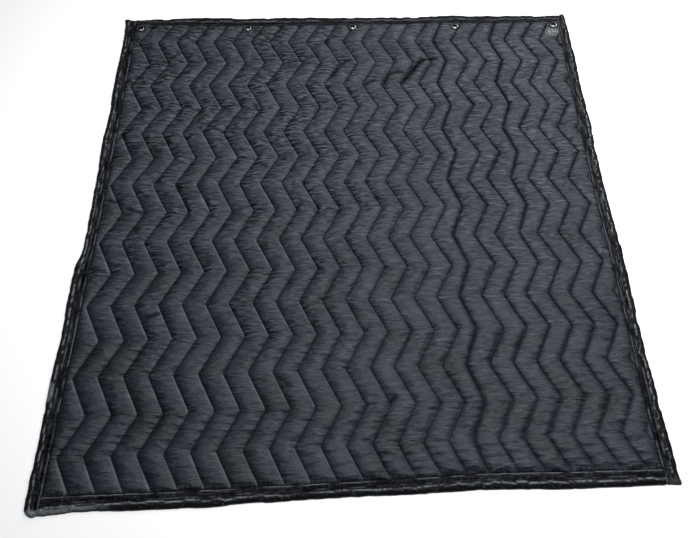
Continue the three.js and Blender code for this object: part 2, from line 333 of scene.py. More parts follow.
def threadFinish():
    look = threadLook
    thread = Finish("sewing_thread", Specular_IOR_Level=look["specular"])
    tint = thread.mix(thread.noise((300, 300, 300), 2), look["dark"], look["light"])
    return thread.feed(Base_Color=tint, Roughness=look["roughness"] + 0.1 * thread.noise((90, 90, 90)))


nickelLook = {
    "bright": shade(180, 180, 178), "handled": shade(128, 128, 126),
    # painted shade: the near-black of the bore, the rim and the bead's far side
    "painted_metal_shade": shade(12, 12, 13),       # in the bore and under the rim
    "roughness": 0.2,
    "scratches": (900, 250, 900), "scratchDepth": 0.00008,
}


def nickelFinish():
    look = nickelLook
    nickel = Finish("grommet_nickel")
    handled = nickel.noise((160, 160, 160), 4, 0.6)
    tint = nickel.mix(handled.between(0.35, 0.75), look["bright"], look["handled"])
    # painted shade in the bore, at the rim and on the bead's far side
    painted_metal_shade = nickel.painted("painted_metal_shade")
    tint = nickel.mix(painted_metal_shade * 0.97, tint, look["painted_metal_shade"])
    dull = nickel.noise((600, 600, 600), 2, 0.5)
    scratches = nickel.bump(nickel.noise(look["scratches"], 3, 0.6, turn=30), look["scratchDepth"], 0.6)
    metal = 0.97 + 0.03 * dull
    rough = look["roughness"] + 0.16 * handled + 0.06 * dull + 0.3 * painted_metal_shade
    return nickel.feed(Base_Color=tint, Roughness=rough, Metallic=metal, Normal=scratches)


clothMaterial, tapeMaterial = clothFinish(), tapeFinish()
threadMaterial, nickelMaterial = threadFinish(), nickelFinish()
print("finishes ready")


def perSide(*values):
    # one value for each side of the blanket
    return dict(zip(("left", "right", "top", "bottom"), values))


# outer and inner edges of the binding, which start from the frame's four strips
edge = {
    "step": 0.004,          # stations along a strip
    "soften": 0.018,        # corners of the outline are rounded over this distance
    "wander": 0.0013,       # the hem isn't cut dead straight
    "outset": 0.0016,       # the dips and the rounding would draw the outline in
    # ripples where the thread pulls it, and the depth of the dips between puckers
    "pucker": perSide(0.0008, 0.0010, 0.0018, 0.0007),
    "notch": perSide(0.0016, 0.0020, 0.0040, 0.0012),
    # rounding of the outer corner at the low and the high end of each side strip
    "cornerRound": {"left": (0.026, 0.004), "right": (0.003, 0.005)},
    "endReach": 0.035,      # a side strip's end is drawn to the line of the end strip over this distance
}


def stripEdges(side, along, outward, seed):
    # along: 0 when the strip runs in x, 1 in y. outward: +1 or -1 on the other axis.
    # The greatest and least reach outwards of every section of the frame's strip, then the same at even
    # stations, blurred, with slow and quick wavers added.
    co = np.array([v.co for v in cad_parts["binding_" + side].data.vertices], float)
    at = np.round(co[:, along], 4)
    cuts = np.unique(at)
    across = co[:, 1 - along] * outward
    outer = np.array([across[at == cut].max() for cut in cuts])
    inner = np.array([across[at == cut].min() for cut in cuts])
    count = int(round((cuts[-1] - cuts[0]) / edge["step"]))
    stations = np.linspace(cuts[0], cuts[-1], count + 1)
    reach = int(3 * edge["soften"] / edge["step"])
    weights = bell(np.arange(-reach, reach + 1) * edge["step"], edge["soften"])

    def blurred(values):
        # running mean with a bell-shaped weight, ends carried on in a straight line
        first = 2 * values[0] - values[reach:0:-1]
        last = 2 * values[-1] - values[-2:-reach - 2:-1]
        return np.convolve(np.concatenate([first, values, last]), weights / weights.sum(), "valid")

    slow, quick = waver(stations / 0.07, 0, seed), waver(stations / 0.017, 0, seed + 1)
    dips = step(waver(stations / 0.034, 0, seed + 3), 0.25, 0.3)
    outer = blurred(np.interp(stations, cuts, outer)) + edge["wander"] * slow
    outer += edge["outset"] + edge["pucker"][side] * quick - edge["notch"][side] * dips
    inner = blurred(np.interp(stations, cuts, inner))
    inner += edge["wander"] * waver(stations / 0.09, 0, seed + 2) * 0.6
    return {"at": stations, "outer": outer * outward, "inner": inner * outward,
            "along": along, "outward": outward}


directions = perSide((1, -1, 21), (1, 1, 31), (0, 1, 41), (0, -1, 51))
sides = {side: stripEdges(side, *direction) for side, direction in directions.items()}


def edgeAt(side, column, at):
    return np.interp(at, sides[side]["at"], sides[side][column])


def rimDistance(x, y):
    # distance to the nearest inner edge of the side bindings and of the end bindings, positive inside
    across = np.minimum(x - edgeAt("left", "inner", y), edgeAt("right", "inner", y) - x)
    along = np.minimum(edgeAt("top", "inner", x) - y, y - edgeAt("bottom", "inner", x))
    return across, along


grommetNodes = sorted(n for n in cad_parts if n.startswith("grommet_") and n != "grommet_band")
grommetPlaces = [(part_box(n)[0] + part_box(n)[1]) / 2 for n in grommetNodes]
print("edges and grommets found:", len(grommetPlaces))

quilt = {
    "needleGap": 0.0738,        # sideways from one zigzag line to the next
    "legRun": 0.123,            # lengthwise run of one leg
    "swing": 0.0597,            # sideways reach of one leg
    "firstTurn": (-0.846, 0.859),
    "lineWander": 0.0011,       # a needle never runs dead straight
    "turnRound": 0.004,
    "seamTop": 0.0032,          # the two cloths meet in a seam
    "seamBack": 0.0019,
    "crown": 0.0128,            # top of a full channel
    "rimTop": 0.0030,           # the sewn-flat rim inside the tape
    "rimBack": 0.0016, "rimBackReach": 0.012,
    "rimRise": 0.030,           # a channel fills out over this distance from the binding
    "backRise": 0.016,          # the back swells down to the surface over this distance from a seam
    "roundness": 2.05, "steepness": 0.80,   # section of a channel
    # towards the right edge, from this x and over this distance, channels are fuller and flatter on top
    "fullerFrom": (0.1, 0.5), "rounder": 0.7, "flatter": 0.16,
    "unevenFill": 0.10, "fillLength": 0.11,
    "slowSwell": 0.0012,
}

# what the thread pulls up beside the seams, at the turns and at the hem
puckers = {
    # heights
    "seam": 0.0012, "star": 0.0011, "across": 0.0006, "hem": 0.0011, "tuck": 0.0007,
    # how far they run from what pulls them
    "seamReach": 0.014, "starReach": 0.022, "hemReach": 0.013,
    # lengths of their waves
    "seamLength": 0.0085, "legLength": 0.021,
    "tuckAt": 0.0082, "tuckWidth": 0.0026,
}

# where shade and highlights are painted on the face, as widths and reaches from a seam or the hem
marks = {
    # half widths of a seam's dark line: on its right, by legs that lean left and by legs that lean right;
    # on its left, with more towards the right edge; and the least of that by legs that lean right
    "rightWidth": (0.0031, 0.0035), "leftWidth": 0.0008, "leftWider": 0.0018, "leaningWidth": 0.0013,
    # the dimmer shade beside it, with what the left half has more
    "dim": 0.19, "dimReach": 0.006, "dimmerLeft": 0.24, "furtherLeft": 0.012,
    # the painted highlight on the stretched edge, and the painted shade of the hem and of the gathers at the
    # ends
    "stretchedAt": 0.0026, "stretchedWidth": 0.0034,
    "hemReach": 0.0028, "gatherReach": 0.008,
}

# lines that a needle drew aside: shifts of their left and right turns down to the last turn named,
# and how much deeper than the others they lie
strayLines = {
    16: {"left": 0.001, "right": -0.014, "untilTurn": 16, "deep": 0.0014, "wide": 0.0046},
    19: {"left": 0.011, "right": -0.008, "untilTurn": 8, "deep": 0.0012, "wide": 0.0044},
}

# long soft waves where the filling stands higher
waves = [
    {"x": 0.352, "low": -0.9, "high": 0.9, "width": 0.030, "lift": 0.0026},
    {"x": 0.598, "low": 0.18, "high": 0.9, "width": 0.034, "lift": 0.0040},
]

# single folds, each a valley (height below zero) or a ridge: start, end, height, half width, darkness of its
# painted shade
folds = [
    ((0.196, 0.612), (0.290, 0.750), -0.0050, 0.0120, 1.0),
    ((0.288, 0.745), (0.350, 0.746), -0.0030, 0.0075, 0.9),
    ((0.122, 0.605), (0.150, 0.668), -0.0036, 0.0080, 0.95),
    ((0.150, 0.668), (0.215, 0.680), -0.0030, 0.0075, 0.8),
    ((0.049, 0.608), (0.100, 0.630), -0.0026, 0.0075, 0.8),
    ((-0.039, 0.728), (0.006, 0.750), -0.0024, 0.0075, 0.75),
    ((-0.086, 0.642), (-0.036, 0.728), -0.0034, 0.0090, 0.8),
    ((-0.060, 0.640), (-0.012, 0.715), 0.0016, 0.0080, 0.0),
    ((-0.332, 0.212), (-0.306, 0.188), -0.0038, 0.0075, 0.9),
    ((-0.848, 0.346), (-0.800, 0.396), -0.0030, 0.0085, 0.8),
    ((-0.846, 0.055), (-0.800, 0.047), -0.0030, 0.0080, 0.8),
    ((-0.780, 0.012), (-0.700, -0.004), -0.0026, 0.0080, 0.7),
    ((-0.666, -0.406), (-0.640, -0.418), -0.0028, 0.0075, 0.9),
    ((-0.640, -0.418), (-0.616, -0.398), -0.0028, 0.0075, 0.9),
    ((-0.240, -0.636), (-0.196, -0.672), -0.0026, 0.0080, 0.6),
    ((0.092, -0.738), (0.120, -0.712), -0.0024, 0.0080, 0.8),
]

lineNumbers = np.arange(-2, 27)


def turnX(line, turn):
    # even turns point left, odd ones right by one swing
    odd = np.mod(turn, 2) == 1
    x = quilt["firstTurn"][0] + line * quilt["needleGap"] + np.where(odd, quilt["swing"], 0.0)
    for number, stray in strayLines.items():
        shift = np.where(odd, stray["right"], stray["left"])
        x = x + np.where((line == number) & (turn <= stray["untilTurn"]), shift, 0.0)
    return x


def lineX(line, y):
    # straight between turns, blurred a little at the turns, plus a slow wander
    total = 0.0
    for offset, weight in ((-1, 0.25), (0, 0.5), (1, 0.25)):
        run = (quilt["firstTurn"][1] - y + offset * quilt["turnRound"]) / quilt["legRun"]
        turn = np.floor(run)
        share = run - turn
        total = total + weight * (turnX(line, turn) * (1 - share) + turnX(line, turn + 1) * share)
    return total + quilt["lineWander"] * waver(y / 0.055, line * 3.31 + 0.4, 7)


legLength = math.hypot(quilt["swing"], quilt["legRun"])
cosine = quilt["legRun"] / legLength


def channelAt(x, y):
    # counts the zigzag lines left of each point; left and right are the two that enclose it
    lines = np.stack([lineX(n, y) for n in lineNumbers])
    count = np.clip((lines <= x).sum(0), 1, len(lineNumbers) - 1)[None]
    left = np.take_along_axis(lines, count - 1, 0)[0]
    right = np.take_along_axis(lines, count, 0)[0]
    return count[0] - 1 + lineNumbers[0], left, right


def foldsAt(x, y):
    # sum of bells across each fold's segment, fading to its ends; the second result is how dark its painted
    # shade is
    height, dark = np.zeros_like(x), np.zeros_like(x)
    for start, end, depth, width, much in folds:
        run = np.subtract(end, start)
        length = np.hypot(*run)
        along = ((x - start[0]) * run[0] + (y - start[1]) * run[1]) / length
        across = ((y - start[1]) * run[0] - (x - start[0]) * run[1]) / length
        ends = smooth(along / 0.015 + 0.5) * smooth((length - along) / 0.015 + 0.5)
        reach = bell(across, width) * ends
        height += depth * reach
        dark = np.maximum(dark, reach * much)
    return height, dark


def measured(x, y):
    # where each point lies in its channel, on its leg, from the nearest turn and from the edges
    q = quilt
    line, left, right = channelAt(x, y)
    fromLeft, fromRight = (x - left) * cosine, (right - x) * cosine
    nearLine = line + (fromRight < fromLeft)
    across, along = rimDistance(x, y)
    run = (q["firstTurn"][1] - y) / q["legRun"]
    turn = np.round(run)
    leans = np.where(np.mod(np.floor(run), 2) == 1, -1.0, 1.0)
    dx = x - turnX(nearLine, turn)
    dy = y - (q["firstTurn"][1] - turn * q["legRun"])
    return SimpleNamespace(
        x=x, y=y, line=line, nearLine=nearLine, turn=turn,
        share=np.clip((x - left) / (right - left), 0, 1),
        fromLeft=fromLeft, fromRight=fromRight, near=np.minimum(fromLeft, fromRight),
        across=across, along=along, inside=np.minimum(across, along),
        leans=leans,    # +1 on a leg that runs down to the right
        toTurn=np.abs(run - turn) * q["legRun"],
        alongLeg=(x * leans * q["swing"] - y * q["legRun"]) / legLength,
        away=np.hypot(dx, dy), bearing=np.arctan2(dy, dx),
        high=step(y, -0.95, 1.4),
    )


def crowned(at):
    # between its two lines a channel is an arch, (1 - |2 share - 1| ^ roundness) ^ steepness, and it
    # flattens towards the binding. The second and third results are the arch and that flattening.
    q = quilt
    fuller = step(at.x, *q["fullerFrom"])
    roundness = q["roundness"] + q["rounder"] * fuller
    arch = (1 - np.abs(2 * at.share - 1) ** roundness) ** (q["steepness"] - q["flatter"] * fuller)
    rise = (1 - (1 - np.clip(at.inside / q["rimRise"], 0, 1)) ** 2.2) ** 0.8
    slow = 0.6 * waver(at.x / 0.3, at.y / 0.35, 4)
    fill = 1 + q["unevenFill"] * (waver(at.line * 3.7, at.y / q["fillLength"], 3) + slow)
    return q["seamTop"] + (q["crown"] - q["seamTop"]) * arch * fill * rise, arch, rise


def puckered(at, arch, quiet):
    # waves square to the seams, which die out from them, waves along the legs, and stars at the turns
    p = puckers
    close = np.exp(-at.near / p["seamReach"]) * smooth(at.near / 0.002)
    pulls = 0.6 + 0.6 * waver(at.x / 0.16, at.y / 0.12, 12)
    pull = at.y + 0.22 * at.leans * at.x + 0.006 * waver(at.x / 0.05, at.y / 0.05, 10)
    z = p["seam"] * close * quiet * pulls * waver(pull / p["seamLength"], at.nearLine * 5.3 + 0.5, 11)
    legs = waver(at.alongLeg / p["legLength"], at.line * 2.7 + at.fromLeft / 0.05, 13)
    z += 0.5 * p["seam"] * arch * quiet * legs
    star = waver(at.bearing * 2.4 + 20, at.nearLine * 1.7 + at.turn * 13.1, 14)
    return z + p["star"] * star * np.exp(-at.away / p["starReach"]) * smooth(at.away / 0.005)


def wrinkled(at, rise):
    # wrinkles across the width in patches: two noises less a valley, 1 - 2 smooth(|noise|). The second
    # result is how much of a patch there is.
    patch = smooth(0.5 + 0.9 * waver(at.x / 0.22, at.y / 0.17, 15))
    drift = at.y + 0.005 * waver(at.x / 0.04, at.y / 0.04, 19)
    sideways = waver(at.x / 0.045, drift / 0.019, 16) + 0.6 * waver(at.x / 0.028 + 3, drift / 0.013, 17)
    valley = 1 - 2 * smooth(np.abs(waver(at.x / 0.06 + 7, drift / 0.021, 25)) / 0.3)
    much = (0.2 + patch) * (0.5 + 0.5 * at.high) * rise * smooth(at.near / 0.006)
    return puckers["across"] * (sideways - 0.5 * valley) * much, patch


def gathered(at):
    # ripples square to the binding, which pulls the channels in. The second result is the pull of the ends
    # where the ripples dip, for their painted shade.
    reach = puckers["hemReach"]
    endPull = np.exp(-np.clip(at.along, 0, 1) / reach) * (at.along < at.across)
    sidePull = np.exp(-np.clip(at.across, 0, 1) / reach) * (at.across <= at.along)
    ripple = waver(at.x / 0.0078, 0.5, 20)
    gathers = endPull * ripple + 0.6 * sidePull * waver(at.y / 0.012, 0.5, 22)
    return puckers["hem"] * gathers * smooth(at.inside / 0.003), endPull * smooth(-ripple * 1.6)


def strayed(at):
    # how deep the lines lie that a needle drew aside, and how dark their painted shade is
    deep, dark = np.zeros_like(at.x), np.zeros_like(at.x)
    for number, row in strayLines.items():
        reach = bell(at.near, row["wide"]) * (at.nearLine == number) * (at.turn <= row["untilTurn"])
        deep += row["deep"] * reach
        dark = np.maximum(dark, reach * (0.6 + 0.28 * smooth(at.y / 0.6)))
    return deep, dark


def tucked(at, quiet):
    # a small second fold beside the legs that lean right, and how much of it there is
    much = smooth(0.4 + waver(at.nearLine * 3.1, at.y / 0.09, 18)) * (at.leans < 0) * quiet
    return bell(at.fromRight - puckers["tuckAt"], puckers["tuckWidth"]) * much * step(at.x, -0.1, 0.4)


def seated(z, x, y):
    # under each grommet the face is pressed flat, with short puckers round it; shadow is 1 by the flange
    shadow = np.zeros_like(x)
    for centre in grommetPlaces:
        gx, gy = x - centre.x, y - centre.y
        radius = np.hypot(gx, gy)
        out = step(radius, seat["flat"], seat["rise"])
        ray = waver(np.arctan2(gy, gx) * 2.2 + 9, centre.x * 50, 23)
        near = bell(radius - seat["puckerAt"], seat["puckerWidth"])
        z = seat["height"] * (1 - out) + z * out + seat["pucker"] * ray * near
        shadow = np.maximum(shadow, 0.95 * smooth((seat["shadow"] - radius) / seat["shadowFade"]))
    return z, shadow


def seamDark(at):
    # a seam is dark mostly on its right, where the channel's shoulder shades it, and towards the right
    # edge on both sides. To the right of it a dimmer shade runs out, wider in the left half.
    m = marks
    upwards = step(at.y, -0.9, 1.7)
    onLeft = m["leftWidth"] + m["leftWider"] * step(at.x, 0.1, 0.4)
    onLeft = np.maximum(onLeft, m["leaningWidth"] * (at.leans < 0))
    onRight = np.where(at.leans > 0, *m["rightWidth"])
    width = (0.80 + 0.40 * upwards) * np.where(at.fromLeft < at.fromRight, onRight, onLeft)
    faint = 1 - 0.45 * step(at.x, 0.25, 0.3) * step(-at.y, 0.62, 0.15)
    dark = bell(at.near, width) * (0.84 + 0.16 * waver(at.alongLeg / 0.012, at.nearLine * 1.9, 24)) * faint
    dark *= 0.82 + 0.18 * upwards
    leftHalf = step(-at.x, -0.15, 0.6)
    dim = np.exp(-at.fromLeft / (m["dimReach"] + m["furtherLeft"] * leftHalf))
    dim = dim * (0.85 + 0.55 * waver(at.x / 0.05, at.y / 0.045, 28))
    return np.maximum(dark, (m["dim"] + m["dimmerLeft"] * leftHalf) * dim)


def crumpledAt(at, patch):
    # 0 to 1, how many short sharp wrinkles there are: in groups, beside the seams, at the turns and in
    # patches, more of them towards the grommets and the left
    groups = smooth(0.5 + 1.3 * waver(at.x / 0.06, at.y / 0.038, 26))
    much = (0.14 + at.high) * bell(at.fromLeft, 0.03) + 0.35 * patch * at.high
    much = much + 0.45 * step(at.y, 0.1, 0.5) * step(-at.x, -0.3, 0.5) + 0.45 * np.exp(-at.away / 0.018)
    return np.clip(groups * much * (1 - 0.5 * step(at.x, -0.35, 0.5)), 0, 1)


def quiltTop(x, y):
    # height of the face: the crowned channels plus puckers, wrinkles, gathers, swells, folds and long
    # waves, pressed flat under the grommets and nowhere below the rim. The second result is the
    # attributes that its finish reads, from 0 to 1.
    q, at = quilt, measured(x, y)
    quiet = smooth(at.toTurn / 0.012)
    z, arch, rise = crowned(at)
    wrinkles, patch = wrinkled(at, rise)
    gathers, pinched = gathered(at)
    strayDeep, strayDark = strayed(at)
    tuck = tucked(at, quiet)
    foldHeight, foldDark = foldsAt(x, y)
    z = z + puckered(at, arch, quiet) + wrinkles + gathers - puckers["tuck"] * tuck
    z += rise * (q["slowSwell"] * waver(x / 0.21, y / 0.26, 5) - strayDeep + foldHeight)
    for wave in waves:
        ends = step(y, wave["low"], 0.2) * step(-y, -wave["high"], 0.2)
        z += wave["lift"] * ends * bell(x - wave["x"], wave["width"]) * (0.35 + 0.65 * arch) * rise
    z, shadow = seated(z, x, y)
    z = np.where(at.inside < 0, q["rimTop"], np.maximum(z, q["rimTop"]))

    # painted shade: the seams' lines, the hem, the tuck, the gathers' valleys, the folds, the stray lines
    # and the ring round each grommet
    hem = np.exp(-np.clip(at.inside, 0, 1) / marks["hemReach"])
    painted_shade = np.max([seamDark(at), hem, 0.5 * tuck, 0.26 * pinched, foldDark, strayDark, shadow], 0)
    # a painted highlight on the stretched edge just left of a seam, on legs that run down to the right, in
    # the left half
    stretched = bell(at.fromRight - marks["stretchedAt"], marks["stretchedWidth"]) * (at.leans > 0)
    stretched = stretched * step(-at.x, -0.2, 0.5) * smooth(at.inside / 0.01)
    stretched = stretched * (0.7 + 0.5 * waver(at.alongLeg / 0.035, at.nearLine * 2.3, 27))
    hemmed = np.exp(-np.clip(at.along, 0, 1) / marks["gatherReach"])
    hemmed = hemmed * (at.along < at.across) * (at.inside > 0)
    return z, {
        "painted_shade": np.clip(painted_shade, 0, 1), "crumpled": crumpledAt(at, patch),
        "stretched": stretched, "hemmed": hemmed,
    }


def quiltBack(x, y):
    # the back rests on the surface and lifts off it towards every seam and towards the binding
    q = quilt
    left, right = channelAt(x, y)[1:]
    near = np.minimum(x - left, right - x) * cosine
    lift = 1 - smooth(near / q["backRise"]) ** 0.8
    # towards the binding it is a rim, which fades inwards
    rim = smooth(1 - np.minimum(*rimDistance(x, y)) / q["rimBackReach"])
    return np.maximum(q["seamBack"] * lift, q["rimBack"] * rim)


# where the grommets press the quilt flat
seat = {
    "height": 0.0074, "flat": 0.0205, "rise": 0.013,
    "pucker": 0.0006, "puckerAt": 0.025, "puckerWidth": 0.008,
    "shadow": 0.0225, "shadowFade": 0.004,      # the face is dark out to here
    "hole": 0.0092, "holeSides": 32,
    "punch": (-0.01, 0.03),                     # what cuts the hole reaches from the one to the other
}

# how the grid is laid out: it follows the zigzag lines, close together beside each seam
grid = {
    "acrossChannel": [0, 0.022, 0.072, 0.18, 0.35, 0.55, 0.73, 0.89, 0.968],
    # the same in the half channels by the side bindings, and over the rim
    "leftMargin": [0, 0.06, 0.14, 0.25, 0.38, 0.52, 0.68, 0.82, 0.94],
    "rightMargin": [0, 0.1, 0.3, 0.55, 0.8, 0.94],
    "rim": [0, 1 / 3, 2 / 3],
    # and of the rows by the end bindings
    "endMargin": [0, 0.05, 0.13, 0.23, 0.35, 0.48, 0.61, 0.74, 0.87],
    "rowsPerLeg": 24, "rowsBeyond": 9,      # the second is from the first or last turn to steadyY
    "lastLine": 23, "lastTurn": 14,
    "steadyY": (-0.93, 0.93),   # between these, rows run straight across
    "rimInset": 0.0062,         # the rim stops this far inside the fold of the tape
    "backEvery": 3,             # the back has a third of the columns and rows
    "clampInset": 0.010,        # no zigzag line comes closer than this to a side binding
}


def quiltGrid():
    # x and y of every vertex of the face, row by row
    g, q = grid, quilt
    topTurn = q["firstTurn"][1]
    lowTurn = topTurn - g["lastTurn"] * q["legRun"]
    turning = np.linspace(lowTurn, topTurn, g["lastTurn"] * g["rowsPerLeg"] + 1)
    below = np.linspace(g["steadyY"][0], lowTurn, g["rowsBeyond"] + 1)[:-1]
    above = np.linspace(topTurn, g["steadyY"][1], g["rowsBeyond"] + 1)[1:]
    margin = len(g["rim"]) + len(g["endMargin"])

    def columnsAt(y):
        leftIn, rightIn = edgeAt("left", "inner", y), edgeAt("right", "inner", y)
        leftRim = edgeAt("left", "outer", y) + g["rimInset"]
        rightRim = edgeAt("right", "outer", y) - g["rimInset"]
        lines = [np.clip(lineX(n, y), leftIn + g["clampInset"], rightIn - g["clampInset"])
                 for n in range(g["lastLine"] + 1)]
        columns = [leftRim + (leftIn - leftRim) * s for s in g["rim"]]
        columns += [leftIn + (lines[0] - leftIn) * s for s in g["leftMargin"]]
        for a, b in zip(lines, lines[1:]):
            columns += [a + (b - a) * s for s in g["acrossChannel"]]
        columns += [lines[-1] + (rightIn - lines[-1]) * s for s in g["rightMargin"]]
        columns += [rightIn + (rightRim - rightIn) * s for s in [*g["rim"], 1]]
        return np.stack(columns, -1)

    # rows run straight across, except in the margins, which follow the end strips
    low, high = [np.full(margin, y) for y in g["steadyY"]]
    nominal = np.concatenate([low, below, turning, above, high])
    x = columnsAt(nominal)
    y = np.repeat(nominal[:, None], x.shape[1], 1)
    for end, outward, steadyY, rows, order in (
        ("bottom", -1, g["steadyY"][0], slice(0, margin), 1),
        ("top", 1, g["steadyY"][1], slice(len(nominal) - margin, len(nominal)), -1),
    ):
        along = x[rows][0]
        inner = edgeAt(end, "inner", along)
        outer = edgeAt(end, "outer", along) - outward * g["rimInset"]
        bent = [outer + (inner - outer) * s for s in g["rim"]]
        bent += [inner + (steadyY - inner) * s for s in g["endMargin"]]
        y[rows] = np.stack(bent)[::order]
        # columns once more, at the rows' true places
        x[rows] = columnsAt(y[rows].mean(1))
    return x, y


def perimeter(ids):
    # indices round a grid of indices, anticlockwise seen from above
    return np.concatenate([ids[0, :-1], ids[:-1, -1], ids[-1, :0:-1], ids[:0:-1, 0]])


def quads(ids, flipped=False):
    faces = np.stack([ids[:-1, :-1], ids[:-1, 1:], ids[1:, 1:], ids[1:, :-1]], -1).reshape(-1, 4)
    return faces[:, ::-1] if flipped else faces


def punched(piece):
    # one round hole for each grommet; the attributes are painted later, on what the cut leaves
    count = seat["holeSides"]
    turns = np.linspace(0, 2 * np.pi, count, endpoint=False)
    ring = np.stack([np.cos(turns), np.sin(turns)], -1) * seat["hole"]
    around = np.arange(count)
    after = (around + 1) % count
    holes, faces = [], []
    for number, centre in enumerate(grommetPlaces):
        flat = ring + (centre.x, centre.y)
        holes += [np.c_[flat, np.full(count, height)] for height in seat["punch"]]
        first = number * 2 * count
        faces += (np.stack([around, after, after + count, around + count], -1) + first).tolist()
        faces += [(around[::-1] + first).tolist(), (around + count + first).tolist()]
    punch = newObject("punch", np.concatenate(holes), faces, clothMaterial)
    cut = piece.modifiers.new("holes", "BOOLEAN")
    cut.operation, cut.solver, cut.object = "DIFFERENCE", "MANIFOLD", punch
    mesh = bpy.data.meshes.new_from_object(piece.evaluated_get(bpy.context.evaluated_depsgraph_get()))
    piece.modifiers.clear()
    piece.data = mesh
    mesh.name = piece.name
    mesh.shade_smooth()
    bpy.data.objects.remove(punch)


# places where the face is rubbed pale, at half width and half height
wornSpots = [
    {"x": 0.842, "y": 0.908, "width": 0.036, "height": 0.030, "much": 1.0},
    {"x": -0.420, "y": 0.918, "width": 0.020, "height": 0.010, "much": 0.35},
]


def buildQuilt():
    # the face on its grid, the back on every third column and row of it, and a wall round both
    x, y = quiltGrid()
    every = grid["backEvery"]
    face = np.stack([x.ravel(), y.ravel(), quiltTop(x.ravel(), y.ravel())[0]], -1)
    bx, by = x[::every, ::every], y[::every, ::every]
    back = np.stack([bx.ravel(), by.ravel(), quiltBack(bx.ravel(), by.ravel())], -1)
    faceIds = np.arange(x.size).reshape(x.shape)
    backIds = np.arange(bx.size).reshape(bx.shape) + x.size
    upper, lower = perimeter(faceIds), perimeter(backIds)
    # each piece of wall joins one step of the back's outline to three of the face's
    start = np.arange(len(lower))
    wall = [lower[start], lower[(start + 1) % len(lower)]]
    wall += [upper[(start * every + k) % len(upper)] for k in range(every, -1, -1)]
    faces = quads(faceIds).tolist() + quads(backIds, True).tolist() + np.stack(wall, -1).tolist()
    piece = newObject("quilted_blanket", np.concatenate([face, back]), faces, clothMaterial,
                      ("quilt_panel", "grommet_band"))
    punched(piece)
    x, y = vertexPlaces(piece)[:, :2].T
    for attribute, values in quiltTop(x, y)[1].items():
        paint(piece, attribute, values)
    worn = np.zeros(len(x))
    for spot in wornSpots:
        away = np.hypot((x - spot["x"]) / spot["width"], (y - spot["y"]) / spot["height"])
        worn = np.maximum(worn, spot["much"] * smooth(1.3 - away))
    paint(piece, "worn", worn)
    return piece


blanket = buildQuilt()
print("quilt:", len(blanket.data.polygons), "faces")

stitch = {
    "pitch": 0.0060, "length": 0.0047, "radius": 0.00042, "lift": 0.0002,
    "ringsAt": (0.18, 0.82),                        # shares of a stitch where it has its full girth
    "lines": (-1, 24), "stations": (-0.99, 0.99),   # the zigzag lines and the stretch in y that are sewn
    "clearOfHem": 0.004, "clearOfGrommet": 0.0175,
}


def stitches(name, starts, ends, radius, finish):
    # each stitch is a four-sided spindle: a point, two square rings, a point. base holds its points
    # as shares of the way along it and of its radius
    run = ends - starts
    length = np.linalg.norm(run, axis=1, keepdims=True)
    ahead = run / length
    side = np.cross(ahead, (0, 0, 1.0))
    side /= np.linalg.norm(side, axis=1, keepdims=True)
    up = np.cross(side, ahead)
    base = [(0.0, 0.0, 0.0)]
    for share in stitch["ringsAt"]:
        base += [(share, 1.0, 0.0), (share, 0.0, 1.0), (share, -1.0, 0.0), (share, 0.0, -1.0)]
    base = np.array(base + [(1.0, 0.0, 0.0)])
    points = starts[:, None] + run[:, None] * base[None, :, :1]
    points = points + radius * (side[:, None] * base[None, :, 1:2] + up[:, None] * base[None, :, 2:])
    cap = [[0, 1 + k, 1 + (k + 1) % 4] for k in range(4)]
    wall = [[1 + k, 5 + k, 5 + (k + 1) % 4, 1 + (k + 1) % 4] for k in range(4)]
    tail = [[9, 5 + (k + 1) % 4, 5 + k] for k in range(4)]
    offsets = (np.arange(len(starts)) * len(base))[:, None, None]
    faces = (np.array(cap + tail)[None] + offsets).reshape(-1, 3).tolist()
    faces += (np.array(wall)[None] + offsets).reshape(-1, 4).tolist()
    return newObject(name, points.reshape(-1, 3), faces, finish)


def quiltingThread():
    # stitches at an even pitch along every zigzag line, on the face, clear of the hem and the grommets
    s = stitch
    stations = np.arange(*s["stations"], s["pitch"] * cosine)
    lines = np.arange(*s["lines"])[:, None]
    first = stations[None] + 0 * lines
    ends, clear = [], []
    for y in (first, first + s["length"] * cosine):
        x, y = lineX(lines, y).ravel(), y.ravel()
        ends.append(np.stack([x, y, quiltTop(x, y)[0] + s["lift"]], -1))
        clear.append(np.minimum(*rimDistance(x, y)) > s["clearOfHem"])
        clear += [np.hypot(x - c.x, y - c.y) > s["clearOfGrommet"] for c in grommetPlaces]
    keep = np.all(clear, 0)
    starts, ends = ends[0][keep], ends[1][keep]
    return stitches("quilting_thread", starts, ends, s["radius"], threadMaterial)


thread = quiltingThread()
print("quilting thread:", len(thread.data.polygons) // 12, "stitches")

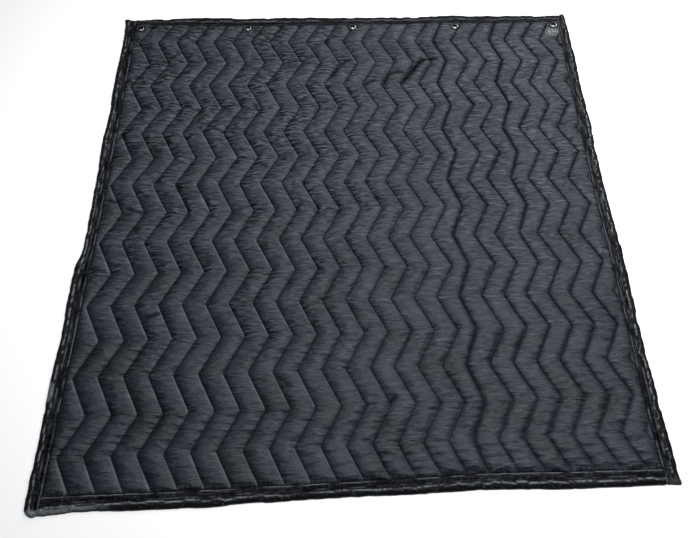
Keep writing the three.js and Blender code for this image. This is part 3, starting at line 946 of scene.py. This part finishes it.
binding = {
    # outer face of the folded tape: share of the way in from the fold, and height
    "outside": [
        (1.00, 0.0048), (0.965, 0.0060), (0.91, 0.0069), (0.84, 0.0064), (0.76, 0.0052), (0.68, 0.0046),
        (0.60, 0.0054), (0.52, 0.0072), (0.43, 0.0088), (0.34, 0.0097), (0.25, 0.0098), (0.16, 0.0090),
        (0.085, 0.0074), (0.03, 0.0056), (0.0, 0.0036), (0.012, 0.0018), (0.05, 0.0006), (0.12, 0.0001),
        (0.30, 0.0), (0.60, 0.0), (1.00, 0.0),
    ],
    "tape": 0.0010,
    "cutWidth": 0.092,      # flat width of the tape that is folded
    "endRound": 0.007,
    "stitchAt": 0.68,
    "stitchSpan": (0.12, 0.88),     # a stitch fills this part of the way between two stations
    # bands of the section: share, half width and the height above which they count
    "crest": (0.27, 0.20, 0.0045), "valley": (0.72, 0.16, 0.004), "ridge": (0.91, 0.06, 0.004),
    "toothed": (0.68, 0.22, 0.004),
    "crestShift": 0.06,     # the crest wanders across the strip by this share
    "crestWave": 0.0013, "underWave": 0.0004,
    "crinkle": 0.0007,
    "gather": 0.0009,
    # the jagged painted highlight along the crest: share, half width and sway
    "crestLine": perSide(0.36, 0.40, 0.54, 0.36),
    "lineWidth": perSide(0.024, 0.024, 0.034, 0.034),
    "lineSway": perSide(0.06, 0.10, 0.05, 0.07),
    # how pale it is, and the painted highlights along the inner edge and beside the stitches
    "crestMuch": perSide(0.85, 1.0, 0.55, 0.95),
    "innerLine": perSide(0.5, 0.6, 0.15, 0.75),
    "middleLine": perSide(0.4, 0.4, 0.1, 0.3),
    "paleLines": [(0.955, 0.03, "innerLine"), (0.80, 0.03, "middleLine"), (0.58, 0.026, "middleLine")],
    # painted shade on the roll's outer side
    "outerDark": perSide(0.15, 0.85, 0.75, 0.1),
    "toothPitch": perSide(0.006, 0.006, 0.011, 0.007),
    # stretches where the roll is painted paler
    "paleStretches": [
        {"side": "bottom", "at": -0.95, "reach": 0.24, "fade": 0.12, "depth": 0.32, "much": 0.7},
        {"side": "left", "at": -1.03, "reach": 0.02, "fade": 0.012, "depth": 1.0, "much": 0.8},
        {"side": "left", "at": -0.66, "reach": 0.03, "fade": 0.02, "depth": 0.35, "much": 0.5},
        {"side": "right", "at": -1.03, "reach": 0.020, "fade": 0.02, "depth": 0.9, "much": 0.3},
    ],
}
tapeShare, tapeHeight = np.array(binding["outside"]).T


def band(name, share):
    # how much of a band of the section there is at a share
    place, width, above = binding[name]
    return bell(share - place, width) * (tapeHeight > above)


def rolled(station, seed):
    # share and height of the tape's outer face at every station: the crest wanders, and the tape
    # crinkles where the thread gathers it
    b, still = binding, 0 * station
    crest, valley, ridge = [band(name, tapeShare) for name in ("crest", "valley", "ridge")]
    shift = b["crestShift"] * waver(station / 0.05, still, seed) * crest
    lift = b["crestWave"] * waver(station / 0.045, still + 2, seed + 1) * crest
    lift = lift + b["crinkle"] * waver(station / 0.009, tapeShare * 5, seed + 2) * (crest + 0.4 * ridge)
    lift = lift + b["gather"] * waver(station / 0.008, tapeShare * 2.5, seed + 3) * (valley + 0.5 * ridge)
    under = (tapeHeight < 0.004) * (tapeShare < 0.2)
    lift = lift + b["underWave"] * waver(station / 0.02, still + 5, seed + 4) * under
    return np.clip(tapeShare + shift, 0, 1), np.maximum(tapeHeight + lift, 0.0)


def paleness(side, station, shares, seed):
    # painted highlights: lines along the strip, each a bell across it, broken here and there; and the paler
    # stretches
    b, still, onFace = binding, 0 * station, tapeHeight > 0.0045
    sway = b["lineSway"][side]
    crestLine = b["crestLine"][side] + sway * waver(station / 0.026, still + 3, seed + 5)
    crestLine = crestLine + 0.5 * sway * waver(station / 0.008, still + 3, seed + 7)
    broken = smooth(1.2 + waver(station / 0.05, still, seed + 6))
    pale = bell(shares - crestLine, b["lineWidth"][side]) * onFace * broken * b["crestMuch"][side]
    for number, (place, width, much) in enumerate(b["paleLines"], seed + 8):
        sways = 0.02 * waver(station / 0.018, still, number + 3)
        line = b[much][side] * bell(shares - place - sways, width) * onFace
        pale = np.maximum(pale, line * smooth(0.75 + 1.1 * waver(station / 0.035, still, number)))
    for patch in b["paleStretches"]:
        if patch["side"] == side:
            reach = smooth((patch["reach"] - np.abs(station - patch["at"])) / patch["fade"] + 0.5)
            reach = reach * (shares > 0.03) * smooth((patch["depth"] - shares) / 0.1) * (tapeHeight > 0.003)
            pale = np.maximum(pale, patch["much"] * reach)
    return pale


def darkness(side, station, shares, seed):
    # painted shade: teeth along the stitches, and the outer side of the roll
    teeth = smooth(0.5 + 1.6 * waver(station / binding["toothPitch"][side], shares * 2.5, seed + 3))
    dark = band("toothed", shares) * (0.45 + 0.55 * teeth)
    return np.maximum(dark, binding["outerDark"][side] * smooth((0.25 - shares) / 0.1))


def buildBinding(side, seed, roundEnds):
    # the outline of the tape's section, share and height, is carried along the strip, and each station
    # scales the shares to its width. The second and third results are both ends of every stitch.
    b, strip = binding, sides[side]
    at, outer, inner, outward = strip["at"], strip["outer"], strip["inner"], strip["outward"]
    station, flatten = at[:, None], 1.0
    if roundEnds:
        # the corner is a quarter of an ellipse, and the tape is folded flatter there
        toEnd = np.minimum(at - at[0], at[-1] - at)
        rounding = np.where(at < 0, *edge["cornerRound"][side])
        lack = np.clip(1 - toEnd / rounding, 0, 1)
        outer = outer - outward * rounding * (1 - np.sqrt(1 - np.minimum(lack, 0.96) ** 2))
        flatten = 0.35 + 0.65 * np.sqrt(1 - np.clip(1 - toEnd / b["endRound"], 0, 1) ** 2)[:, None]
    shares, heights = rolled(station, seed)
    span = np.abs(outer - inner)[:, None]
    inset = shares * span
    # the inner face is the outer one moved in by the tape's thickness along its normal
    du, dz = np.gradient(inset, axis=1), np.gradient(heights, axis=1)
    size = np.hypot(du, dz) + 1e-9
    under = np.clip(inset + dz / size * b["tape"], b["tape"], span)
    under[:, [0, -1]] = inset[:, [0, -1]]
    loop = np.concatenate([inset, under[:, ::-1]], 1)
    z = np.concatenate([heights, (heights + du / size * b["tape"])[:, ::-1]], 1) * flatten
    across = outer[:, None] - outward * loop
    along = np.repeat(station, loop.shape[1], 1)
    if roundEnds:
        # the inner side of an end meets the outer edge of the end strip; the outer side keeps its corner
        for row, endSide in ((0, "bottom"), (-1, "top")):
            meet = edgeAt(endSide, "outer", inner[row])
            reach = smooth(1 - np.abs(station - at[row]) / edge["endReach"])
            along = along + (meet - at[row]) * reach * np.clip(loop / span, 0, 1)
    inX = strip["along"] == 0
    points = np.stack([along, across, z] if inX else [across, along, z], -1)
    ids = np.arange(loop.size).reshape(loop.shape)
    flipped = inX == (outward > 0)
    faces = quads(np.concatenate([ids, ids[:, :1]], 1), flipped).tolist()
    # an end is closed by quads between the outer and the inner face
    place = np.arange(len(tapeShare) - 1)
    for row, turned in ((ids[0], flipped), (ids[-1], not flipped)):
        cap = np.stack([row[place], row[place + 1], row[-2 - place], row[-1 - place]], -1)
        faces += (cap if turned else cap[:, ::-1]).tolist()
    piece = newObject("tape_" + side, points.reshape(-1, 3), faces, tapeMaterial,
                      ("binding_" + side,))
    none = np.zeros_like(shares)
    for attribute, values in (("edge", paleness), ("painted_shade", darkness)):
        paint(piece, attribute, np.concatenate([values(side, station, shares, seed), none], 1).ravel())
    # stitches in the valley, one between each two stations
    column = int(np.argmin(np.abs(tapeShare - b["stitchAt"]) + (tapeHeight < 0.004)))
    row = points[:, column] + (0, 0, stitch["radius"] * 0.4)
    if roundEnds:
        row = row[3:-3]
    return piece, *(row[:-1] + (row[1:] - row[:-1]) * share for share in b["stitchSpan"])


tapes, threadStarts, threadEnds = {}, [], []
for side, seed in perSide(61, 71, 81, 91).items():
    tapes[side], starts, ends = buildBinding(side, seed, side in edge["cornerRound"])
    threadStarts.append(starts)
    threadEnds.append(ends)
hemThread = stitches("binding_thread", np.concatenate(threadStarts), np.concatenate(threadEnds),
                     stitch["radius"], threadMaterial)
print("binding sewn on:", len(tapes), "tapes")

grommet = {
    # radius and height round a section of the set grommet: bore, rolled edge, flange, barrel, washer
    "section": [
        (0.00600, 0.0008), (0.00620, 0.0014), (0.00800, 0.0024), (0.00800, 0.0078), (0.00820, 0.0086),
        (0.00870, 0.0091), (0.00940, 0.0093), (0.01010, 0.0094), (0.01060, 0.0097), (0.01120, 0.0100),
        (0.01200, 0.0101), (0.01290, 0.0100), (0.01370, 0.0097), (0.01440, 0.0092), (0.01500, 0.0086),
        (0.01540, 0.0080), (0.01520, 0.0078), (0.01450, 0.0078), (0.01200, 0.0079), (0.00895, 0.0079),
        (0.00890, 0.0070), (0.00890, 0.0015), (0.00950, 0.0014), (0.01560, 0.0014), (0.01600, 0.0011),
        (0.01600, 0.0006), (0.01555, 0.0001), (0.01500, 0.0), (0.01150, 0.0), (0.01100, 0.0004),
        (0.01010, 0.0005), (0.00930, 0.0003), (0.00780, 0.0003), (0.00650, 0.0004),
    ],
    "turns": 72,
    "dent": 0.00012,                # where the flange was struck
    # the polished bead lies between these radii, above the flange's underside; the rest is painted dark, as
    # painted shade
    "bright": (0.0114, 0.0142), "fade": 0.0007, "underside": 0.0079,
    # turn of the bead's painted highlight round the bore
    "brightSide": 0.9,
}


def buildGrommet(node, centre, seed):
    # the section is turned about the bore's axis
    g = grommet
    radius, height = np.array(g["section"]).T
    angle = np.linspace(0, 2 * np.pi, g["turns"], endpoint=False)[:, None]
    dent = g["dent"] * waver(np.cos(angle) * 1.7 + 5, np.sin(angle) * 1.7 + 5, seed) * (height > 0.008)
    x, y = centre.x + radius * np.cos(angle), centre.y + radius * np.sin(angle)
    points = np.stack([x, y, height + dent], -1)
    ids = np.arange(radius.size * g["turns"]).reshape(g["turns"], -1)
    closed = np.concatenate([ids, ids[:1]])
    closed = np.concatenate([closed, closed[:, :1]], 1)
    piece = newObject(node + "_nickel", points.reshape(-1, 3), quads(closed, True).tolist(),
                      nickelMaterial, (node,))
    # painted shade: 0 on the bead, 1 in the bore and at the rim
    low, high = g["bright"]
    clean = smooth((radius - low) / g["fade"] + 0.5) * smooth((high - radius) / g["fade"] + 0.5)
    clean = clean * (height > g["underside"])
    # painted highlight and shade: the bead is bright on the side towards the camera's right, black on the
    # other
    turned = angle + g["brightSide"] + 0.5 * waver(seed * 0.37, 0.0, 9)
    clean = clean * (0.25 + 0.75 * smooth(0.75 + 0.9 * np.cos(turned)))
    paint(piece, "painted_metal_shade", (1 - clean).ravel())


for number, (node, centre) in enumerate(zip(grommetNodes, grommetPlaces)):
    buildGrommet(node, centre, 100 + number)
print("grommets set:", len(grommetNodes))

studio = {
    "floor": 14.0, "floorDrop": 0.0004, "floorLook": (shade(245, 246, 247), shade(248, 248, 248)),
    "camera": {
        "place": (0.0391, -1.6918, 2.1848),
        "right": (0.99709, -0.06233, 0.04401),
        "up": (0.02788, 0.83458, 0.55019),
        "ahead": (0.07102, 0.54736, -0.83388),
        "lens": 40.804, "sensor": 36.0, "shift": (-0.10926, 0.0), "near": 0.05, "far": 60,
    },
    # square lamps, all turned to the blanket's middle
    "lampSize": 1.0,
    "lamps": [
        {"name": "overhead", "place": (0.44, 0.35, 3.0), "watts": 111},
        {"name": "window", "place": (1.9, 3.4, 1.7), "watts": 31},
        {"name": "high_window", "place": (0.6, 4.5, 3.5), "watts": 50},
        {"name": "side", "place": (1.6, 0.2, 2.2), "watts": 27},
    ],
    "sky": (0.88, 0.94, 1.0), "skyStrength": 0.08,
}


def added(name, data, matrix=None):
    made = bpy.data.objects.new(name, data)
    if matrix is not None:
        made.matrix_world = matrix
    bpy.context.scene.collection.objects.link(made)
    return made


def posed(right, up, back, place):
    # a lamp and a camera look along their own -Z
    return Matrix([list(row) for row in zip(right, up, back, place)] + [[0, 0, 0, 1]])


def aimed(place):
    # turned to the origin
    back = np.array(place) / np.linalg.norm(place)
    right = np.cross((0, 0, 1.0), back)
    right /= np.linalg.norm(right)
    return posed(right, np.cross(back, right), back, place)


def buildFloor():
    half, drop = studio["floor"] / 2, -studio["floorDrop"]
    corners = [(-half, -half, drop), (half, -half, drop), (half, half, drop), (-half, half, drop)]
    mesh = bpy.data.meshes.new("floor")
    mesh.from_pydata(corners, [], [[0, 1, 2, 3]])
    finish = Finish("pale_floor", Specular_IOR_Level=0.1)
    tint = finish.mix(finish.noise((0.7, 0.7, 0.7)), *studio["floorLook"])
    mesh.materials.append(finish.feed(Base_Color=tint, Roughness=0.85 + 0.05 * finish.noise((2, 2, 2))))
    floor = added("floor", mesh)


def buildStudio():
    buildFloor()
    for lamp in studio["lamps"]:
        light = bpy.data.lights.new(lamp["name"], "AREA")
        light.shape, light.size, light.energy = "SQUARE", studio["lampSize"], lamp["watts"]
        added(lamp["name"], light, aimed(lamp["place"]))
    world = bpy.data.worlds.new("studio")
    world.use_nodes = True
    sky = world.node_tree.nodes["Background"].inputs
    sky["Color"].default_value = (*studio["sky"], 1)
    sky["Strength"].default_value = studio["skyStrength"]
    c = studio["camera"]
    lens = bpy.data.cameras.new("camera")
    lens.lens, lens.sensor_width, lens.sensor_fit = c["lens"], c["sensor"], "HORIZONTAL"
    lens.shift_x, lens.shift_y = c["shift"]
    lens.clip_start, lens.clip_end = c["near"], c["far"]
    back = [-share for share in c["ahead"]]
    scene = bpy.context.scene
    scene.world = world
    scene.camera = added("camera", lens, posed(c["right"], c["up"], back, c["place"]))
    scene.view_settings.view_transform = "Standard"


buildStudio()
print("studio lit")
